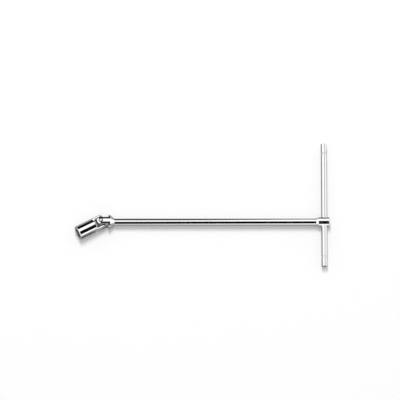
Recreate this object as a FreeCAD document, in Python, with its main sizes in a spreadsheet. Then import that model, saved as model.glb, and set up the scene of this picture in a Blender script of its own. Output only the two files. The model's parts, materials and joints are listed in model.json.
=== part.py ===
import FreeCAD, Part
import math
import os
import re

import Sketcher

# T-handle swivel socket wrench, in millimetres.  +X runs along the shaft from the socket to the
# tee head, +Y along the tee bar, +Z up.  The origin is under the middle of the bounding box.

doc = FreeCAD.newDocument("TeeWrench")

# ---------------------------------------------------------------- driving dimensions

SIZES = {
    # overall
    "bar_axis_reach": 301.0,        # joint centre to tee bar axis
    "bar_length": 175.0,
    "bar_offset": 24.3,             # how far the bar is slid out along +Y
    "mouth_reach": 35.5,            # joint centre to socket mouth
    "rest_yaw": 29.0,               # the socket's swing about the yoke pin, at rest
    "rest_pitch": 5.0,              # the socket's lift about its own pins, at rest
    # shaft rod
    "rod_diameter": 10.0,
    "spigot_diameter": 7.0,
    "yoke_spigot_length": 5.0,
    "head_spigot_length": 4.0,
    "spigot_end_gap": 0.2,
    # universal joint
    "joint_diameter": 19.8,
    "swing_gap": 0.3,               # between a fork's swinging tips and the face they pass
    "flange_thickness": 2.4,
    "flange_cone_length": 5.4,
    "arm_flank_step": 0.5,          # the flanks lie this far inside the round of the tip
    "arm_tip_gap": 0.1,             # between an arm's round tip and the other fork's arms
    "arm_tip_stock": 1.0,           # turned stock left beyond the tip before it is milled
    "arm_edge_chamfer": 0.4,
    "arm_relief": 1.5,              # inner edges of the arms, cut back to clear the other fork
    "block_size": 10.5,
    "block_chamfer": 0.8,
    "block_side_gap": 0.05,
    "joint_pin_diameter": 4.6,
    "joint_pin_gap": 0.05,
    "joint_pin_rounding": 0.5,
    "short_pin_inner_gap": 0.15,
    # hexagon socket
    "socket_diameter": 19.7,
    "socket_rim_radius": 1.2,
    "hex_across_flats": 13.1,
    "hex_depth": 10.0,
    "hex_lead_diameter": 16.2,
    "hex_lead_depth": 1.0,
    "bolt_bore_diameter": 12.4,
    "bolt_bore_depth": 17.0,
    "bolt_bore_cone_depth": 2.5,
    # tee head
    "head_diameter": 13.5,
    "head_length": 14.8,
    "head_cone_length": 3.0,
    "head_chamfer": 0.8,
    "bar_hole_gap": 0.05,
    # tee bar
    "bar_diameter": 8.0,
    "bar_end_radius": 1.2,
    "bar_groove_inset": 13.5,
    "bar_groove_width": 2.5,
    "bar_groove_depth": 0.7,
    # detent
    "ball_diameter": 4.0,
    "ball_bore_gap": 0.1,
    "ball_bar_gap": 0.02,
    "spring_wire_diameter": 0.65,
    "spring_length": 8.6,
    "spring_turns": 7.0,
    "spring_bore_gap": 0.1,
    "plug_bar_gap": 0.35,
    "plug_recess": 0.2,
}

sheet = doc.addObject("Spreadsheet::Sheet", "Sizes")
for row, (alias, value) in enumerate(SIZES.items(), start=1):
    sheet.set(f"A{row}", alias)
    sheet.set(f"B{row}", str(value))
    sheet.setAlias(f"B{row}", alias)

# An unseen feature that works out what an expression comes to, to draw the first sketch lines.
probe = doc.addObject("App::FeaturePython", "Probe")
probe.addProperty("App::PropertyFloat", "Value")
doc.recompute()


WITH_SHEET = {alias: f"Sizes.{alias}" for alias in SIZES}


def sized(text):
    """Turn the size names in a formula into references to the sheet."""
    return re.sub(r"[a-z_]+", lambda word: WITH_SHEET.get(word.group(), word.group()), text)


def number(text):
    """What a formula of sizes comes to."""
    probe.setExpression("Value", sized(text))
    probe.recompute()
    return probe.Value


# Places that several pieces share, as formulas of the sizes.
AXIS_SHARE = "cos(rest_yaw) * cos(rest_pitch)"
SOCKET_EXTENT = (
    f"(mouth_reach - socket_rim_radius) * {AXIS_SHARE}"
    f" + (socket_diameter / 2 - socket_rim_radius) * sqrt(1 - ({AXIS_SHARE}) ^ 2)"
    " + socket_rim_radius"
)
HEAD_END = "bar_axis_reach + head_length / 2"
JOINT_X = f"(({SOCKET_EXTENT}) - ({HEAD_END})) / 2"
JOINT_Y = "0 - bar_offset"
JOINT_Z = "joint_diameter / 2"
BAR_X = f"{JOINT_X} + bar_axis_reach"
SLOT_HALF = "block_size / 2 + block_side_gap"
ARM_TIP_RADIUS = f"({SLOT_HALF} - arm_tip_gap)"
ARM_SIDE = f"({ARM_TIP_RADIUS} - arm_flank_step)"
BRIDGE_REACH = "(joint_diameter / 2 + swing_gap)"
ROD_START = f"{BRIDGE_REACH} + flange_thickness + flange_cone_length"
ROD_END = "bar_axis_reach - head_length / 2 - head_cone_length"
BAR_HOLE_RADIUS = "bar_diameter / 2 + bar_hole_gap"
BALL_BORE_RADIUS = "ball_diameter / 2 + ball_bore_gap"
BALL_REACH = "bar_diameter / 2 + ball_diameter / 2 + ball_bar_gap"


# ---------------------------------------------------------------- building blocks

def new_body(label):
    body = doc.addObject("PartDesign::Body", label)
    body.Label = label
    return body


def place(piece, x, y, z, yaw="0", pitch="0", roll="0"):
    """Bind a piece's Placement to formulas of the sizes."""
    base = f"vector({x}; {y}; {z})"
    swing = f"rotation({yaw}; {pitch}; {roll})"
    piece.setExpression("Placement", sized(f"placement({base}; {swing})"))


def new_sketch(body, name, role, offset=None):
    """A sketch on one of the body's own origin planes, moved along its normal by offset."""
    sketch = body.newObject("Sketcher::SketchObject", f"{body.Name}_{name}")
    plane = next(item for item in body.Origin.OriginFeatures if item.Role == role)
    sketch.AttachmentSupport = [(plane, "")]
    sketch.MapMode = "FlatFace"
    if offset:
        sketch.setExpression("AttachmentOffset.Base.z", sized(offset))
    return sketch


def bind(sketch, kind, edge, point, formula):
    """Set one coordinate of a sketch point, or lay the point on an axis where it is zero."""
    start = number(formula)
    if abs(start) < 1e-9:
        axis = -2 if kind == "DistanceX" else -1
        sketch.addConstraint(Sketcher.Constraint("PointOnObject", edge, point, axis))
        return
    index = sketch.addConstraint(Sketcher.Constraint(kind, edge, point, start))
    sketch.setExpression(f"Constraints[{index}]", sized(formula))


def draw_outline(sketch, corners, arcs=None, hollow=()):
    """A closed outline, anticlockwise.  arcs gives the radius of the edges that are not straight,
    each by the number of the corner it starts from; those in hollow curve inwards."""
    arcs = arcs or {}
    places = [FreeCAD.Vector(number(x), number(y), 0) for x, y in corners]
    first = sketch.GeometryCount
    for index, start in enumerate(places):
        end = places[(index + 1) % len(places)]
        if index in arcs:
            radius = number(arcs[index])
            half = (end - start) / 2
            rise = math.sqrt(max(radius ** 2 - half.Length ** 2, 0.0)) / half.Length
            side = -1 if index in hollow else 1
            centre = start + half + FreeCAD.Vector(-half.y, half.x, 0) * rise * side
            circle = Part.Circle(centre, FreeCAD.Vector(0, 0, 1), radius)
            angles = [math.atan2(end_point.y - centre.y, end_point.x - centre.x)
                      for end_point in (start, end)[::side]]
            edge = sketch.addGeometry(Part.ArcOfCircle(circle, *angles), False)
            limit = sketch.addConstraint(Sketcher.Constraint("Radius", edge, radius))
            sketch.setExpression(f"Constraints[{limit}]", sized(arcs[index]))
        else:
            sketch.addGeometry(Part.LineSegment(start, end), False)
    for index, (x, y) in enumerate(corners):
        edge = first + index
        following = (index + 1) % len(corners)
        begin = 2 if index in hollow else 1
        next_begin = 2 if following in hollow else 1
        sketch.addConstraint(
            Sketcher.Constraint("Coincident", edge, 3 - begin, first + following, next_begin))
        bind(sketch, "DistanceX", edge, begin, x)
        bind(sketch, "DistanceY", edge, begin, y)


def draw_rectangle(sketch, left, right, low, high):
    draw_outline(sketch, [(left, low), (right, low), (right, high), (left, high)])


def draw_circle(sketch, radius):
    start = number(radius)
    circle = Part.Circle(FreeCAD.Vector(0, 0, 0), FreeCAD.Vector(0, 0, 1), start)
    edge = sketch.addGeometry(circle, False)
    sketch.addConstraint(Sketcher.Constraint("Coincident", edge, 3, -1, 1))
    limit = sketch.addConstraint(Sketcher.Constraint("Radius", edge, start))
    sketch.setExpression(f"Constraints[{limit}]", sized(radius))


def turn(body, name, corners, arcs=None):
    """A turned solid about the body's X axis, from its half outline in the XY plane."""
    sketch = new_sketch(body, f"{name}_outline", "XY_Plane")
    draw_outline(sketch, corners, arcs)
    feature = body.newObject("PartDesign::Revolution", f"{body.Name}_{name}")
    feature.Profile = sketch
    feature.ReferenceAxis = (sketch, ["H_Axis"])
    feature.Angle = 360
    doc.recompute()
    return feature


def checked_cut(body, feature):
    """Recompute, and stop if the cut took nothing away."""
    before = feature.BaseFeature.Shape.Volume
    doc.recompute()
    if feature.Shape.isNull() or feature.Shape.Volume > before - 0.01:
        raise RuntimeError(f"{feature.Name} cuts nothing")
    body.Tip = feature
    return feature


def cut_through(body, name, sketch):
    """A pocket right through, both ways from its sketch."""
    feature = body.newObject("PartDesign::Pocket", f"{body.Name}_{name}")
    feature.Profile = sketch
    feature.Type = "ThroughAll"
    feature.SideType = "Symmetric"
    return checked_cut(body, feature)


def cut_depth(body, name, sketch, depth):
    """A pocket of a given depth, against the normal of its sketch."""
    feature = body.newObject("PartDesign::Pocket", f"{body.Name}_{name}")
    feature.Profile = sketch
    feature.Type = "Length"
    feature.setExpression("Length", sized(depth))
    return checked_cut(body, feature)


def cut_groove(body, name, corners):
    """A turned groove about the body's X axis."""
    sketch = new_sketch(body, f"{name}_outline", "XY_Plane")
    draw_outline(sketch, corners)
    feature = body.newObject("PartDesign::Groove", f"{body.Name}_{name}")
    feature.Profile = sketch
    feature.ReferenceAxis = (sketch, ["H_Axis"])
    feature.Angle = 360
    return checked_cut(body, feature)


def chamfer_edges(body, name, size, wanted):
    """Chamfer the edges of the body so far for which wanted(edge) holds."""
    base = body.Tip
    names = [f"Edge{i}" for i, edge in enumerate(base.Shape.Edges, start=1) if wanted(edge)]
    feature = body.newObject("PartDesign::Chamfer", f"{body.Name}_{name}")
    feature.Base = (base, names)
    feature.setExpression("Size", sized(size))
    doc.recompute()
    body.Tip = feature
    return feature


def fork_arms(body):
    """Mill the two arms of a fork, either side of the block, round their tips about the pin and
    bore them for a pin along Z."""
    outside = "joint_diameter"
    slot = new_sketch(body, "slot_outline", "XZ_Plane")
    draw_rectangle(slot, f"0 - {outside}", BRIDGE_REACH, f"0 - ({SLOT_HALF})", SLOT_HALF)
    cut_through(body, "slot", slot)
    flanks = new_sketch(body, "flanks_outline", "XY_Plane")
    tip_start = f"0 - sqrt({ARM_TIP_RADIUS} ^ 2 - {ARM_SIDE} ^ 2)"
    draw_outline(flanks, [
        (f"0 - {outside}", f"0 - {outside}"),
        (BRIDGE_REACH, f"0 - {outside}"),
        (BRIDGE_REACH, f"0 - {ARM_SIDE}"),
        (tip_start, f"0 - {ARM_SIDE}"),
        (tip_start, ARM_SIDE),
        (BRIDGE_REACH, ARM_SIDE),
        (BRIDGE_REACH, outside),
        (f"0 - {outside}", outside),
    ], {3: ARM_TIP_RADIUS}, hollow=(3,))
    cut_through(body, "flanks", flanks)
    slot_half = number(SLOT_HALF)
    bridge = number(BRIDGE_REACH)

    def is_inner_edge(edge):
        """A straight edge along the arm, beside the flat face that it turns to the block."""
        points = [vertex.Point for vertex in edge.Vertexes]
        return edge.BoundBox.YLength < 0.001 and edge.BoundBox.XLength > 1 and all(
            abs(abs(point.z) - slot_half) < 0.001 and point.x < bridge + 0.001
            for point in points)

    chamfer_edges(body, "arm_relief", "arm_relief", is_inner_edge)

    def is_back_edge(edge):
        """An edge round the outside of an arm, where its flank or tip meets its turned back."""
        points = [vertex.Point for vertex in edge.Vertexes]
        along = edge.BoundBox.XMax - edge.BoundBox.XMin > 0.5 or edge.BoundBox.XMax < 0
        return along and all(
            abs(point.z) > slot_half + number("arm_relief") + 0.1 and point.x < bridge + 0.001
            for point in points)

    chamfer_edges(body, "arm_edges", "arm_edge_chamfer", is_back_edge)
    bore = new_sketch(body, "pin_bore_outline", "XY_Plane")
    draw_circle(bore, "joint_pin_diameter / 2")
    cut_through(body, "pin_bore", bore)


# ---------------------------------------------------------------- shaft rod

# A drawn round bar.  A spigot at each end goes into the yoke and into the tee head, and a
# blind bore in the head's end holds the detent spring.
rod = new_body("shaft_rod")
yoke_spigot_end = f"({ROD_START}) - yoke_spigot_length"
head_spigot_end = f"({ROD_END}) + head_spigot_length"
spring_seat = f"bar_axis_reach - ({BALL_REACH}) - ball_diameter / 2 - spring_length"
turn(rod, "bar", [
    (yoke_spigot_end, "0"),
    (spring_seat, "0"),
    (spring_seat, BALL_BORE_RADIUS),
    (head_spigot_end, BALL_BORE_RADIUS),
    (head_spigot_end, "spigot_diameter / 2"),
    (ROD_END, "spigot_diameter / 2"),
    (ROD_END, "rod_diameter / 2"),
    (ROD_START, "rod_diameter / 2"),
    (ROD_START, "spigot_diameter / 2"),
    (yoke_spigot_end, "spigot_diameter / 2"),
])
place(rod, JOINT_X, JOINT_Y, JOINT_Z)

# ---------------------------------------------------------------- shaft yoke

# The fork on the end of the shaft: a turned flange with a cone down to the rod, and two arms
# above and below the block, their tips turned to a ball about the joint centre.
yoke = new_body("shaft_yoke")
blank_start = f"0 - {ARM_TIP_RADIUS} - arm_tip_stock"
tip_height = f"sqrt((joint_diameter / 2) ^ 2 - ({blank_start}) ^ 2)"
flange_end = f"{BRIDGE_REACH} + flange_thickness"
yoke_bore_end = f"{yoke_spigot_end} - spigot_end_gap"
turn(yoke, "blank", [
    (blank_start, "0"),
    (yoke_bore_end, "0"),
    (yoke_bore_end, "spigot_diameter / 2"),
    (ROD_START, "spigot_diameter / 2"),
    (ROD_START, "rod_diameter / 2"),
    (flange_end, "joint_diameter / 2"),
    ("0", "joint_diameter / 2"),
    (blank_start, tip_height),
], {6: "joint_diameter / 2"})
fork_arms(yoke)
place(yoke, JOINT_X, JOINT_Y, JOINT_Z)

# ---------------------------------------------------------------- joint block and pins

# A cube with its edges broken, drilled crosswise: the long pin runs in one bore, the two short
# pins in the other.
block = new_body("centre_block")
half_block = "block_size / 2"
square = new_sketch(block, "square_outline", "XY_Plane")
draw_rectangle(square, f"0 - {half_block}", half_block, f"0 - {half_block}", half_block)
cube = block.newObject("PartDesign::Pad", "centre_block_cube")
cube.Profile = square
cube.SideType = "Symmetric"
cube.setExpression("Length", sized("block_size"))
doc.recompute()
chamfer_edges(block, "edges", "block_chamfer", lambda edge: True)
for bore_name, role in {"long": "XY_Plane", "short": "XZ_Plane"}.items():
    bore_circle = new_sketch(block, f"{bore_name}_bore_outline", role)
    draw_circle(bore_circle, "joint_pin_diameter / 2 + joint_pin_gap")
    cut_through(block, f"{bore_name}_bore", bore_circle)
place(block, JOINT_X, JOINT_Y, JOINT_Z, yaw="180 + rest_yaw")


def joint_pin(label, inner, outer, inner_rounded):
    """A pin along its own X axis; its outer end is peened round, its inner end may be too."""
    pin = new_body(label)
    radius = "joint_pin_diameter / 2"
    rounding = "joint_pin_rounding"
    corners = [(inner, "0"), (outer, "0"), (outer, f"{radius} - {rounding}"),
               (f"{outer} - {rounding}", radius)]
    arcs = {2: rounding}
    if inner_rounded:
        corners += [(f"{inner} + {rounding}", radius), (inner, f"{radius} - {rounding}")]
        arcs[4] = rounding
    else:
        corners += [(inner, radius)]
    turn(pin, "round_bar", corners, arcs)
    return pin


# The long pin is pressed into the yoke's arms and stands upright through the block.
yoke_pin = joint_pin("yoke_pin", "0 - joint_diameter / 2", "joint_diameter / 2", True)
place(yoke_pin, JOINT_X, JOINT_Y, JOINT_Z, pitch="90")

# The two short pins are pressed into the socket's arms and stop clear of the long pin.
short_pin_start = "joint_pin_diameter / 2 + short_pin_inner_gap"
for short_pin_label, short_pin_yaw in {
    "socket_pin_left": "270 + rest_yaw",
    "socket_pin_right": "90 + rest_yaw",
}.items():
    short_pin = joint_pin(short_pin_label, short_pin_start, "socket_diameter / 2", False)
    place(short_pin, JOINT_X, JOINT_Y, JOINT_Z, yaw=short_pin_yaw)

# ---------------------------------------------------------------- hexagon socket

# Socket and fork in one piece: turned outside, a hexagon broached in the mouth, a drilled bore
# behind it for the end of the bolt, and two arms that carry the short pins.  Its own X axis
# points out of the mouth; its arms stand along its own Z axis.
socket = new_body("hex_socket")
socket_radius = "socket_diameter / 2"
socket_tip_height = f"sqrt((socket_diameter / 2) ^ 2 - ({blank_start}) ^ 2)"
bore_end = "mouth_reach - bolt_bore_depth"
turn(socket, "blank", [
    (blank_start, "0"),
    (f"{bore_end} - bolt_bore_cone_depth", "0"),
    (bore_end, "bolt_bore_diameter / 2"),
    ("mouth_reach - hex_lead_depth", "bolt_bore_diameter / 2"),
    ("mouth_reach", "hex_lead_diameter / 2"),
    ("mouth_reach", f"{socket_radius} - socket_rim_radius"),
    ("mouth_reach - socket_rim_radius", socket_radius),
    ("0", socket_radius),
    (blank_start, socket_tip_height),
], {5: "socket_rim_radius", 7: socket_radius})
hexagon = new_sketch(socket, "hexagon_outline", "YZ_Plane", "mouth_reach")
corner_radius = "hex_across_flats / (2 * cos(30))"
draw_outline(hexagon, [
    (f"{corner_radius} * cos({60 * step})", f"{corner_radius} * sin({60 * step})")
    for step in range(6)
])
cut_depth(socket, "hexagon", hexagon, "hex_depth")
fork_arms(socket)
place(socket, JOINT_X, JOINT_Y, JOINT_Z, yaw="180 + rest_yaw", pitch="0 - rest_pitch", roll="90")

# ---------------------------------------------------------------- tee head

# A turned boss on the end of the rod with a cross hole for the tee bar.  A bore along its axis
# holds the detent ball on the rod's side and is closed by a plug in the end face.
head = new_body("tee_head")
head_start = "0 - head_length / 2 - head_cone_length"
head_bore_end = f"{head_start} + head_spigot_length + spigot_end_gap"
turn(head, "blank", [
    (head_start, "spigot_diameter / 2"),
    (head_bore_end, "spigot_diameter / 2"),
    (head_bore_end, BALL_BORE_RADIUS),
    ("head_length / 2", BALL_BORE_RADIUS),
    ("head_length / 2", "head_diameter / 2 - head_chamfer"),
    ("head_length / 2 - head_chamfer", "head_diameter / 2"),
    ("0 - head_length / 2", "head_diameter / 2"),
    (head_start, "rod_diameter / 2"),
])
bar_hole = new_sketch(head, "bar_hole_outline", "XZ_Plane")
draw_circle(bar_hole, BAR_HOLE_RADIUS)
cut_through(head, "bar_hole", bar_hole)
place(head, BAR_X, JOINT_Y, JOINT_Z)

# ---------------------------------------------------------------- tee bar

# A plain round bar with a ring groove near each end, where the detent ball clicks in before the
# bar can leave the head.
bar = new_body("tee_bar")
bar_end = "bar_length / 2"
turn(bar, "round_bar", [
    (f"0 - {bar_end}", "0"),
    (bar_end, "0"),
    (bar_end, "bar_diameter / 2 - bar_end_radius"),
    (f"{bar_end} - bar_end_radius", "bar_diameter / 2"),
    (f"bar_end_radius - {bar_end}", "bar_diameter / 2"),
    (f"0 - {bar_end}", "bar_diameter / 2 - bar_end_radius"),
], {2: "bar_end_radius", 4: "bar_end_radius"})
groove_bottom = "bar_diameter / 2 - bar_groove_depth"
for groove_name, groove_middle in {
    "near": f"bar_groove_inset - {bar_end}",
    "far": f"{bar_end} - bar_groove_inset",
}.items():
    cut_groove(bar, f"{groove_name}_groove", [
        (f"{groove_middle} - bar_groove_width / 2 + bar_groove_depth / 2", groove_bottom),
        (f"{groove_middle} + bar_groove_width / 2 - bar_groove_depth / 2", groove_bottom),
        (f"{groove_middle} + bar_groove_width / 2", "bar_diameter / 2"),
        (f"{groove_middle} + bar_groove_width / 2", "bar_diameter"),
        (f"{groove_middle} - bar_groove_width / 2", "bar_diameter"),
        (f"{groove_middle} - bar_groove_width / 2", "bar_diameter / 2"),
    ])
place(bar, BAR_X, "0", JOINT_Z, yaw="90")

# ---------------------------------------------------------------- detent

# A hardened ball pressed against the bar by a coil spring in the rod's blind bore.
ball = doc.addObject("Part::Sphere", "detent_ball")
ball.setExpression("Radius", sized("ball_diameter / 2"))
place(ball, f"{BAR_X} - ({BALL_REACH})", JOINT_Y, JOINT_Z)

spring_centre_radius = f"{BALL_BORE_RADIUS} - spring_bore_gap - spring_wire_diameter / 2"
spring_line = doc.addObject("Part::Helix", "SpringLine")
spring_line.setExpression("Radius", sized(spring_centre_radius))
spring_line.setExpression("Height", sized("spring_length - 2 * spring_wire_diameter"))
spring_line.setExpression(
    "Pitch", sized("(spring_length - 2 * spring_wire_diameter) / spring_turns"))
wire_section = doc.addObject("Part::Circle", "SpringWireSection")
wire_section.setExpression("Radius", sized("spring_wire_diameter / 2"))
place(wire_section, spring_centre_radius, "0", "0", roll="90")
spring = doc.addObject("Part::Sweep", "detent_spring")
spring.Sections = [wire_section]
spring.Spine = (spring_line, ["Edge1"])
spring.Solid = True
spring.Frenet = True
place(spring, f"{JOINT_X} + ({spring_seat}) + spring_wire_diameter", JOINT_Y, JOINT_Z, pitch="90")

# A disc pressed into the outer end of the bore, just clear of the bar.
plug = new_body("detent_plug")
plug_inner_end = f"plug_bar_gap + {BAR_HOLE_RADIUS} + plug_recess - head_length / 2"
turn(plug, "disc", [
    (plug_inner_end, "0"),
    ("0", "0"),
    ("0", BALL_BORE_RADIUS),
    (plug_inner_end, BALL_BORE_RADIUS),
])
place(plug, f"{JOINT_X} + {HEAD_END} - plug_recess", JOINT_Y, JOINT_Z)

# ---------------------------------------------------------------- checks and output

doc.removeObject("Probe")
doc.recompute()
PIECES = [
    rod, yoke, yoke_pin, block, socket, head, bar, ball, spring, plug,
    doc.getObject("socket_pin_left"), doc.getObject("socket_pin_right"),
]
for item in doc.Objects:
    if "Invalid" in item.State or "Error" in item.State:
        raise RuntimeError(f"{item.Name} failed: {item.State}")
for piece in PIECES:
    if piece.Shape.isNull() or not piece.Shape.isValid() or len(piece.Shape.Solids) != 1:
        raise RuntimeError(f"{piece.Label} is not one valid solid")
os.makedirs("parts", exist_ok=True)
for piece in PIECES:
    piece.Shape.exportStep(f"parts/{piece.Label}.step")
    box = piece.Shape.BoundBox
    print(f"{piece.Label}: {piece.Shape.Volume:.1f} mm3, "
          f"x {box.XMin:.2f}..{box.XMax:.2f}, y {box.YMin:.2f}..{box.YMax:.2f}, "
          f"z {box.ZMin:.2f}..{box.ZMax:.2f}")
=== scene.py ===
import json
import math

import bmesh
import bpy
from mathutils import Matrix, Vector


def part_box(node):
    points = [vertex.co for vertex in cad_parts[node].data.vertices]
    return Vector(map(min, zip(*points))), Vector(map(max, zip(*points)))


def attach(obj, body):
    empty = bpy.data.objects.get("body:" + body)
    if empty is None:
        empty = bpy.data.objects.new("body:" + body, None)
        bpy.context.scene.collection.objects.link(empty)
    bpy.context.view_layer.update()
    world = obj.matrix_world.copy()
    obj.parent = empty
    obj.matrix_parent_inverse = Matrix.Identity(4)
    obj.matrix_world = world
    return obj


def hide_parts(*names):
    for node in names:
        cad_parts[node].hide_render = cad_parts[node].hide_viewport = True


# T-handle swivel socket wrench: a long chromed shaft with a sliding tee bar at one end and a
# hexagon socket on a universal joint at the other.  Metres, +X from the socket to the tee head.

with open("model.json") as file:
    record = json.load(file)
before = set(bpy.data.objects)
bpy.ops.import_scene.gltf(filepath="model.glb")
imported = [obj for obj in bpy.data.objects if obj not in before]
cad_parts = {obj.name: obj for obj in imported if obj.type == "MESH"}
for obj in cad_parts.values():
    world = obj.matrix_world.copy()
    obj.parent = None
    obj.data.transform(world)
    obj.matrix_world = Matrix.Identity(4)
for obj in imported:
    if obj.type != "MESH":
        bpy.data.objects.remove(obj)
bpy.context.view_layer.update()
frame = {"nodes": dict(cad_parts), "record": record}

# ---------------------------------------------------------------- table, light and camera
# The wrench lies on a white table under one soft lamp, almost overhead and slightly behind it, in
# a pale tent.  Dark cards round the camera and along the back are seen only in the chrome, and
# draw its dark lines as flags do in a studio.  A black card on the table under the socket, also
# seen only in the chrome, is a painted reflection of the socket's shadow.

TABLE_SPAN = 40.0
TABLE_WHITE = 0.9
TABLE_MOTTLE = 0.004
TABLE_GLOW = 0.14                  # lifts the table to pure white for the camera alone
TABLE_PAINTED_REFLECTION_GREY = 0.12                # painted reflection: the grey that the chrome sees in the table
PAINTED_REFLECTION_SHARE = 0.64
PAINTED_REFLECTION_PALE_SIDE = 0.18                   # the painted grey reflection is paler beyond this X
PAINTED_REFLECTION_PALE_SHARE = 0.5                   # and takes this much less of the painted grey there
TENT_FILL = 0.52                   # how brightly the tent lights a matt surface
TENT_SEEN = 1.0
TENT_MIRRORED = 1.2
WHITE = (1, 1, 1, 1)
LAMP_ENERGY = 76.0
LAMP_WIDTH = 0.35
LAMP_LENGTH = 2.0
LAMP_DISTANCE = 4.0
LAMP_DIRECTION = Vector((-0.04, 0.27, 1.0))
CAMERA_ELEVATION = math.radians(70.0)
CAMERA_LENS = 600.0
VIEW_WIDTH = 0.540                 # what the camera takes in across, at the table
VIEW_CENTRE = Vector((-0.0029, 0.0076, 0.0099))

scene = bpy.context.scene
scene.view_settings.view_transform = "Standard"


class Field:
    """A socket of a material's nodes that is added, multiplied and compared like a number."""

    def __init__(self, tree, socket=None):
        self.tree = tree
        self.socket = socket

    def node(self, kind, settings=None, inputs=None, output=0):
        """Any other node: its settings first, then the values or links of its sockets."""
        made = self.tree.nodes.new(kind)
        for name, value in (settings or {}).items():
            if name == "stops":
                for place, level in value:
                    stop = made.color_ramp.elements.new(place)
                    stop.color = (level, level, level, 1.0)
                made.color_ramp.elements.remove(made.color_ramp.elements[0])
                made.color_ramp.elements.remove(made.color_ramp.elements[-1])
            else:
                setattr(made, name, value)
        for name, value in (inputs or {}).items():
            if isinstance(value, Field):
                self.tree.links.new(value.socket, made.inputs[name])
            else:
                made.inputs[name].default_value = value
        return Field(self.tree, made.outputs[output]) if made.outputs else None

    def _maths(self, operation, first, second):
        return self.node("ShaderNodeMath", {"operation": operation}, {0: first, 1: second})

    def __add__(self, other):
        return self._maths("ADD", self, other)

    def __radd__(self, other):
        return self._maths("ADD", other, self)

    def __sub__(self, other):
        return self._maths("SUBTRACT", self, other)

    def __rsub__(self, other):
        return self._maths("SUBTRACT", other, self)

    def __mul__(self, other):
        return self._maths("MULTIPLY", self, other)

    def __rmul__(self, other):
        return self._maths("MULTIPLY", other, self)

    def __gt__(self, other):
        return self._maths("GREATER_THAN", self, other)

    def __lt__(self, other):
        return self._maths("LESS_THAN", self, other)


def new_material(name):
    """An empty node material and the Field that its nodes are made with."""
    material = bpy.data.materials.new(name)
    material.use_nodes = True
    material.node_tree.nodes.clear()
    return material, Field(material.node_tree)


def finish_material(field, surface):
    field.node("ShaderNodeOutputMaterial", None, {"Surface": surface})


def add_object(name, data):
    """A new object in the scene, at the origin."""
    made = bpy.data.objects.new(name, data)
    scene.collection.objects.link(made)
    return made


def shape_object(name, shape):
    """Turn a finished bmesh into an object."""
    mesh = bpy.data.meshes.new(name)
    shape.to_mesh(mesh)
    shape.free()
    return add_object(name, mesh)


grid = bmesh.new()
bmesh.ops.create_grid(grid, x_segments=1, y_segments=1, size=TABLE_SPAN / 2)
table = shape_object("table", grid)

# White laminate: it shows pure white to the camera and keeps the shadow.  In the chrome it is
# mixed with a painted grey reflection, less of it beyond the tee bar.  From below it isn't seen,
# so the wrench's underside is.
laminate, laminate_field = new_material("table_laminate")
on_table = laminate_field.node("ShaderNodeTexCoord", output=3)
grain = laminate_field.node("ShaderNodeTexNoise", None, {"Vector": on_table, "Scale": 90.0})
paper = TABLE_WHITE + TABLE_MOTTLE * grain
seen = laminate_field.node("ShaderNodeLightPath")
mirrored = laminate_field.node("ShaderNodeLightPath", output=3)
matt = laminate_field.node(
    "ShaderNodeBsdfDiffuse", None,
    {"Color": laminate_field.node(
        "ShaderNodeCombineColor", None, {"Red": paper, "Green": paper, "Blue": paper})})
glow = laminate_field.node(
    "ShaderNodeEmission", None, {"Color": WHITE, "Strength": TABLE_GLOW * seen})
# Painted reflection: a grey matt table, seen only by the chrome, darkens the table in it.
painted_grey_reflection = laminate_field.node(
    "ShaderNodeBsdfDiffuse", None, {"Color": (TABLE_PAINTED_REFLECTION_GREY, TABLE_PAINTED_REFLECTION_GREY, TABLE_PAINTED_REFLECTION_GREY, 1)})
lit = laminate_field.node("ShaderNodeAddShader", None, {0: matt, 1: glow})
beyond_bar = laminate_field.node("ShaderNodeSeparateXYZ", None, {0: on_table}) > PAINTED_REFLECTION_PALE_SIDE
top_side = laminate_field.node(
    "ShaderNodeMixShader", None,
    {0: (PAINTED_REFLECTION_SHARE - PAINTED_REFLECTION_PALE_SHARE * beyond_bar) * mirrored, 1: lit, 2: painted_grey_reflection})
under_side = laminate_field.node("ShaderNodeNewGeometry", output=6)
finish_material(laminate_field, laminate_field.node(
    "ShaderNodeMixShader", None,
    {0: under_side, 1: top_side, 2: laminate_field.node("ShaderNodeBsdfTransparent")}))
table.data.materials.append(laminate)

# The tent: white to the camera and in the chrome, and a weaker fill on matt surfaces.
tent = bpy.data.worlds.new("tent")
tent.use_nodes = True
tent.node_tree.nodes.clear()
tent_field = Field(tent.node_tree)
tent_seen = tent_field.node("ShaderNodeLightPath")
tent_mirrored = tent_field.node("ShaderNodeLightPath", output=3)
tent_white = tent_field.node(
    "ShaderNodeBackground", None,
    {"Color": WHITE,
     "Strength": TENT_FILL + (TENT_SEEN - TENT_FILL) * tent_seen
     + (TENT_MIRRORED - TENT_FILL) * tent_mirrored})
tent_field.node("ShaderNodeOutputWorld", None, {"Surface": tent_white})
scene.world = tent

# The cards: matt black, and one that glows a faint grey over the bar's far side.
black, black_field = new_material("black_card")
finish_material(black_field, black_field.node(
    "ShaderNodeBsdfDiffuse", None, {"Color": (0.006, 0.006, 0.006, 1)}))
grey, grey_field = new_material("grey_card")
finish_material(grey_field, grey_field.node(
    "ShaderNodeEmission", None, {"Color": WHITE, "Strength": 0.42}))


def dark_card(name, corners, paint=black):
    """A card with these corners, seen only in polished metal."""
    shape = bmesh.new()
    shape.faces.new([shape.verts.new(corner) for corner in corners])
    card = shape_object(name, shape)
    card.data.materials.append(paint)
    card.visible_camera = False
    card.visible_diffuse = False
    card.visible_shadow = False


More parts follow.
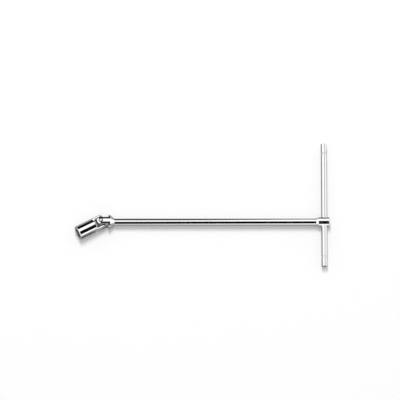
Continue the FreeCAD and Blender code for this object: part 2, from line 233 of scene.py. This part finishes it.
dark_card("card_over_camera", [
    (-0.60, -3.0, 2.9), (0.38, -3.0, 2.9), (0.38, 0.98, 2.9), (0.0, 0.1, 2.9),
    (-0.60, -1.6, 2.9)])
dark_card("card_front", [
    (-0.60, -3.0, 0.1), (-0.15, -3.0, 0.69), (0.38, -3.0, 2.1), (0.38, -3.0, 3.0),
    (-0.60, -3.0, 3.0)])
dark_card("card_beside_camera", [
    (0.285, -0.05, 1.98), (0.965, 0.475, 1.70), (1.605, -0.845, 0.805), (0.925, -1.365, 1.09)])
dark_card("card_over_bar", [
    (0.8, 0.75, 2.9), (3.0, 0.75, 2.9), (3.0, 2.4, 2.9), (0.8, 1.6, 2.9)], grey)
# Painted reflection of the socket's shadow: a black card on the table, seen only in the chrome.
dark_card("painted_shadow_reflection_card", [
    (-0.1314, -0.0501, 0.0004), (-0.1144, -0.0807, 0.0004), (-0.1646, -0.1085, 0.0004),
    (-0.1816, -0.0779, 0.0004)])
dark_card("card_low_front", [
    (0.7, -1.6, 0.0), (1.9, -0.9, 0.0), (1.9, -0.9, 0.22), (0.7, -1.6, 0.22)])
dark_card("card_back", [
    (-1.4, 2.0, 0.0), (2.6, 2.0, 0.0), (2.6, 2.0, 0.7), (0.15, 2.0, 0.75), (-0.05, 2.0, 2.3),
    (-1.4, 2.0, 3.2)])
dark_card("card_left", [
    (-2.0, -0.6, 0.0), (-2.0, 2.0, 0.0), (-2.0, 2.0, 0.8), (-2.0, -0.6, 0.8)])

lamp_data = bpy.data.lights.new("soft_lamp", "AREA")
lamp_data.shape = "RECTANGLE"
lamp_data.size = LAMP_WIDTH
lamp_data.size_y = LAMP_LENGTH
lamp_data.energy = LAMP_ENERGY
lamp = add_object("soft_lamp", lamp_data)
lamp.location = LAMP_DIRECTION.normalized() * LAMP_DISTANCE
lamp.rotation_euler = LAMP_DIRECTION.to_track_quat("Z", "Y").to_euler()
lamp.visible_glossy = False

camera_data = bpy.data.cameras.new("camera")
camera_data.lens = CAMERA_LENS
camera_distance = VIEW_WIDTH * CAMERA_LENS / camera_data.sensor_width
camera = add_object("camera", camera_data)
camera.location = VIEW_CENTRE + camera_distance * Vector(
    (0, -math.cos(CAMERA_ELEVATION), math.sin(CAMERA_ELEVATION)))
camera.rotation_euler = (math.pi / 2 - CAMERA_ELEVATION, 0, 0)
camera_data.clip_end = 50.0
scene.camera = camera

# ---------------------------------------------------------------- shaft rod
# A drawn steel bar, ground, polished and bright chromed.  Spigots turned on its two ends are
# pressed and brazed into the yoke and the tee head.

SPIGOT_RADIUS = 0.0035
YOKE_SPIGOT = 0.005
HEAD_SPIGOT = 0.004
SPRING_BORE_RADIUS = 0.0021
SPRING_BORE_DEPTH = 0.0102
ROD_EDGE = 0.00015
STEADY_RING = 2.5                  # how many bevels in from a long step's ends its rings lie
CHROME_TINT = (0.88, 0.885, 0.895)


def plated(
        name, tint, smear, grind_scale, grind_height, grind_turn=(0, 0, 0), edge=0.0, dull_and_shaded=()):
    """Bright plating over ground steel: faint wheel marks round the piece, and a thin haze of
    handling that dulls it unevenly.  Edge is how far corners are rounded in the finish.  Each
    dull place is a mask, the roughness it adds and the share of light it takes; round the pins
    that darkening is painted shade of the gap."""
    material, field = new_material(name)
    place = field.node("ShaderNodeTexCoord", output=3)
    haze = field.node(
        "ShaderNodeTexNoise", None, {"Vector": place, "Scale": 55.0, "Detail": 4.0})
    smudge = field.node(
        "ShaderNodeValToRGB", {"stops": [(0.42, 0.0), (0.72, 1.0)]}, {"Fac": haze})
    along = field.node(
        "ShaderNodeMapping", None,
        {"Vector": place, "Rotation": grind_turn, "Scale": grind_scale})
    marks = field.node(
        "ShaderNodeTexNoise", None, {"Vector": along, "Scale": 1.0, "Detail": 3.0})
    roughness = smear[0] + (smear[1] - smear[0]) * smudge + 0.02 * marks
    shade = 0.985 + 0.03 * marks - 0.03 * smudge
    for find, rougher, darker in dull_and_shaded:
        dulled_and_shaded = find(field, place)
        roughness = roughness + rougher * dulled_and_shaded
        shade = shade * (1 - darker * dulled_and_shaded)
    colour = field.node(
        "ShaderNodeCombineColor", None,
        {"Red": tint[0] * shade, "Green": tint[1] * shade, "Blue": tint[2] * shade})
    relief = {"Height": marks, "Distance": grind_height, "Strength": 0.35}
    if edge:
        relief["Normal"] = field.node("ShaderNodeBevel", {"samples": 6}, {"Radius": edge})
    ripple = field.node("ShaderNodeBump", None, relief)
    surface = field.node(
        "ShaderNodeBsdfPrincipled", None,
        {"Base Color": colour, "Metallic": 1.0, "Roughness": roughness, "Normal": ripple})
    finish_material(field, surface)
    return material


def add_piece(name, shape, material, body, replaced, sharp=35.0):
    """Turn a finished bmesh into an object that rides on a body and stands for a CAD node."""
    piece = shape_object(name, shape)
    for face in piece.data.polygons:
        face.use_smooth = True
    piece.data.set_sharp_from_angle(angle=math.radians(sharp))
    piece.data.materials.append(material)
    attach(piece, body)
    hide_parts(replaced)
    return piece


def lathe(outline, bevel, steps=96):
    """Spin a half outline of (along, radius) steps about the X axis, and break its corners.
    Each long step has a ring near both ends, which keeps the shading straight between them."""
    shape = bmesh.new()
    steady = [Vector((*outline[0], 0))]
    for start, end in zip(outline, outline[1:]):
        start, end = Vector((*start, 0)), Vector((*end, 0))
        ring = STEADY_RING * bevel / (end - start).length
        if ring < 0.3:
            steady += [start.lerp(end, ring), end.lerp(start, ring)]
        steady.append(end)
    rim = [shape.verts.new(point) for point in steady]
    edges = [shape.edges.new(pair) for pair in zip(rim, rim[1:])]
    bmesh.ops.spin(
        shape, geom=rim + edges, cent=(0, 0, 0), axis=(1, 0, 0), angle=2 * math.pi,
        steps=steps, use_merge=True)
    bmesh.ops.remove_doubles(shape, verts=shape.verts, dist=1e-6)
    bmesh.ops.recalc_face_normals(shape, faces=shape.faces)
    corners = [
        edge for edge in shape.edges
        if len(edge.link_faces) == 2 and edge.calc_face_angle() > math.radians(20)
        and min(vert.co.yz.length for vert in edge.verts) > bevel * 2]
    bmesh.ops.bevel(
        shape, geom=corners, offset=bevel, affect="EDGES", segments=3, profile=0.5, material=-1,
        clamp_overlap=True)
    return shape


def laid(shape, centre, turn=Matrix.Identity(4)):
    """Put a shape that was made about the origin in its place."""
    bmesh.ops.transform(shape, matrix=Matrix.Translation(centre) @ turn, verts=shape.verts)


chrome = plated("bright_chrome", CHROME_TINT, (0.03, 0.09), (900, 60, 60), 0.000008)
rod_low, rod_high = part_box("shaft_rod")
rod_radius = (rod_high.z - rod_low.z) / 2
rod_middle = (rod_low + rod_high) / 2
rod_length = rod_high.x - rod_low.x
rod = lathe([
    (0, 0),
    (0, SPIGOT_RADIUS),
    (YOKE_SPIGOT, SPIGOT_RADIUS),
    (YOKE_SPIGOT, rod_radius),
    (rod_length - HEAD_SPIGOT, rod_radius),
    (rod_length - HEAD_SPIGOT, SPIGOT_RADIUS),
    (rod_length, SPIGOT_RADIUS),
    (rod_length, SPRING_BORE_RADIUS),
    (rod_length - SPRING_BORE_DEPTH, SPRING_BORE_RADIUS),
    (rod_length - SPRING_BORE_DEPTH, 0),
], ROD_EDGE)
laid(rod, (rod_low.x, rod_middle.y, rod_middle.z))
add_piece("rod_bright", rod, chrome, "wrench_shaft", "shaft_rod")

# ---------------------------------------------------------------- tee bar
# A second, thinner chromed bar that slides through the head.  A ring groove is turned near each
# end, where the ball in the head clicks in, and all its corners are lightly broken.

BAR_EDGE = 0.0002
GROOVE_INSET = 0.0135
GROOVE_WIDTH = 0.0025
GROOVE_DEPTH = 0.0007

bar_low, bar_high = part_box("tee_bar")
bar_radius = (bar_high.z - bar_low.z) / 2
bar_middle = (bar_low + bar_high) / 2
bar_end = (bar_high.y - bar_low.y) / 2
bar_outline = [(-bar_end, 0), (-bar_end, bar_radius)]
for side in (-1, 1):
    groove = side * (bar_end - GROOVE_INSET)
    bar_outline += [
        (groove - GROOVE_WIDTH / 2, bar_radius),
        (groove - GROOVE_WIDTH / 2 + GROOVE_DEPTH / 2, bar_radius - GROOVE_DEPTH),
        (groove + GROOVE_WIDTH / 2 - GROOVE_DEPTH / 2, bar_radius - GROOVE_DEPTH),
        (groove + GROOVE_WIDTH / 2, bar_radius),
    ]
bar_outline += [(bar_end, bar_radius), (bar_end, 0)]
bar = lathe(bar_outline, BAR_EDGE)
laid(bar, bar_middle, Matrix.Rotation(math.pi / 2, 4, "Z"))
bar_chrome = plated("bar_chrome", CHROME_TINT, (0.03, 0.10), (60, 900, 60), 0.000008)
add_piece("bar_bright", bar, bar_chrome, "sliding_bar", "tee_bar")

# ---------------------------------------------------------------- tee head
# A turned steel head, coned down to the shaft and chamfered at its far end.  It is cross drilled
# for the tee bar, bored for the ball and spring, pressed on the shaft's spigot and chromed.


def refinish(node, material):
    """Give a CAD node, whose shape is kept, its own finish."""
    frame["nodes"][node].material_slots[0].material = material


refinish("tee_head", plated(
    "head_chrome", CHROME_TINT, (0.03, 0.09), (900, 60, 60), 0.00002, edge=0.0002))

# ---------------------------------------------------------------- yoke on the shaft
# The fork that takes the joint's cross.  A round blank is turned to a flange that cones down to
# the shaft, milled to two arms with round tips, brazed on, ground and chromed.

PIN_GAP_SHADE_RING = (0.00215, 0.0030)      # painted shade of the gap round a pin, with oil in it, from its axis

block_low, block_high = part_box("centre_block")
joint_middle = (block_low + block_high) / 2


def round_axis(line, low, high):
    """A mask that is one between two distances from a line through the joint's middle."""
    def find(field, place):
        from_joint = field.node(
            "ShaderNodeVectorMath", {"operation": "SUBTRACT"}, {0: place, 1: joint_middle})
        away = field.node(
            "ShaderNodeVectorMath", {"operation": "LENGTH"},
            {0: field.node(
                "ShaderNodeVectorMath", {"operation": "CROSS_PRODUCT"},
                {0: from_joint, 1: line})}, output=1)
        return (away > low) * (away < high)
    return find


yoke_pin_line = Vector((0, 0, 1))
# The ring round the pin's end is darkened: painted shade of the gap at the bore's rim, with oil
# in it.
refinish("shaft_yoke", plated(
    "yoke_chrome", CHROME_TINT, (0.03, 0.10), (120, 300, 120), 0.000015, edge=0.00022,
    dull_and_shaded=[(round_axis(yoke_pin_line, *PIN_GAP_SHADE_RING), 0.35, 0.94)]))

# ---------------------------------------------------------------- hexagon socket
# A turned steel socket with a second fork behind it.  Its hexagon is broached into the mouth and
# runs into a bolt clearance bore.  It is chromed all over, thinly inside the hollows.

HOLLOW_RADIUS = 0.0083
HOLLOW_START = 0.0125              # from the middle of the joint, along the socket
SOCKET_TURN = math.radians(-29)    # how far the socket is swung from the shaft's line at rest

mouth = next(
    mount for mount in frame["record"]["mounts"] if mount["name"] == "hex_socket_mouth")
socket_line = Vector(mouth["axis"]).normalized()
socket_pin_line = yoke_pin_line.cross(socket_line).normalized()


def inside_socket(field, place):
    """One inside the hexagon and the bore behind it, and zero elsewhere."""
    from_joint = field.node(
        "ShaderNodeVectorMath", {"operation": "SUBTRACT"}, {0: place, 1: joint_middle})
    along = field.node(
        "ShaderNodeVectorMath", {"operation": "DOT_PRODUCT"}, {0: from_joint, 1: socket_line},
        output=1)
    return (along > HOLLOW_START) * round_axis(socket_line, -1.0, HOLLOW_RADIUS)(field, place)


# Inside the hollows the chrome is thin, rougher and a little darker; the ring round each pin's
# end is painted shade of the gap, with oil in it.
refinish("hex_socket", plated(
    "socket_chrome", CHROME_TINT, (0.03, 0.10), (300, 120, 120), 0.000015,
    grind_turn=(0, 0, SOCKET_TURN), edge=0.00022,
    dull_and_shaded=[(inside_socket, 0.20, 0.12), (round_axis(socket_pin_line, *PIN_GAP_SHADE_RING), 0.35, 0.94)]))

# ---------------------------------------------------------------- joint pins
# Ground steel pins of one diameter, pressed into the fork arms: a long one through the yoke and
# two short ones in the socket's arms.  Their ends are rounded and slightly domed by the hammer.

PIN_ROUNDING = 0.0004
PIN_DOME = 0.0003


def add_pin(name, node, axis, body):
    """A pin that fills the CAD node's length along the axis, at the joint's middle."""
    points = [vertex.co - joint_middle for vertex in frame["nodes"][node].data.vertices]
    reach = [axis.dot(point) for point in points]
    wide = max((point - axis * along).length for point, along in zip(points, reach))
    low, high = min(reach), max(reach)
    shares = [0, 0.25, 0.5, 0.75, 1]
    shape = lathe(
        [(low + PIN_DOME * share ** 2, wide * share) for share in shares]
        + [(high - PIN_DOME * share ** 2, wide * share) for share in reversed(shares)],
        PIN_ROUNDING, steps=48)
    turn = Vector((1, 0, 0)).rotation_difference(axis).to_matrix().to_4x4()
    laid(shape, joint_middle, turn)
    # The rounded rim of the pin's end is darkened: painted shade of the gap where it meets the
    # arm.
    steel = plated(
        name + "_steel", (0.72, 0.72, 0.735), (0.10, 0.20), (400, 400, 400), 0.00001,
        dull_and_shaded=[(round_axis(axis, wide - 1.5 * PIN_ROUNDING, 1.0), 0.25, 0.88)])
    add_piece(name, shape, steel, body, node, sharp=50.0)


add_pin("yoke_pin_ground", "yoke_pin", yoke_pin_line, "wrench_shaft")
add_pin("socket_pin_left_ground", "socket_pin_left", socket_pin_line, "socket")
add_pin("socket_pin_right_ground", "socket_pin_right", socket_pin_line, "socket")

# ---------------------------------------------------------------- joint block
# The cube between the two forks, cross drilled for the pins.  It is milled, chamfered, hardened
# and left oiled, so it is darker than the plated forks round it.

refinish("centre_block", plated(
    "oiled_block_steel", (0.23, 0.23, 0.24), (0.22, 0.38), (900, 60, 60), 0.00003, edge=0.00015))

# ---------------------------------------------------------------- ball, spring and plug
# The click stop: a polished bearing ball on the shaft's side of the bar, a coil of oiled spring
# wire behind it in the shaft's bore, and a turned disc that closes the bore in the head's end.

refinish("detent_ball", plated(
    "bearing_ball_steel", (0.78, 0.78, 0.79), (0.04, 0.08), (200, 200, 200), 0.000005))
refinish("detent_spring", plated(
    "oiled_spring_wire", (0.30, 0.29, 0.28), (0.25, 0.40), (1500, 200, 200), 0.00001))
refinish("detent_plug", plated(
    "turned_plug_steel", (0.55, 0.55, 0.56), (0.20, 0.32), (2500, 60, 60), 0.00002))
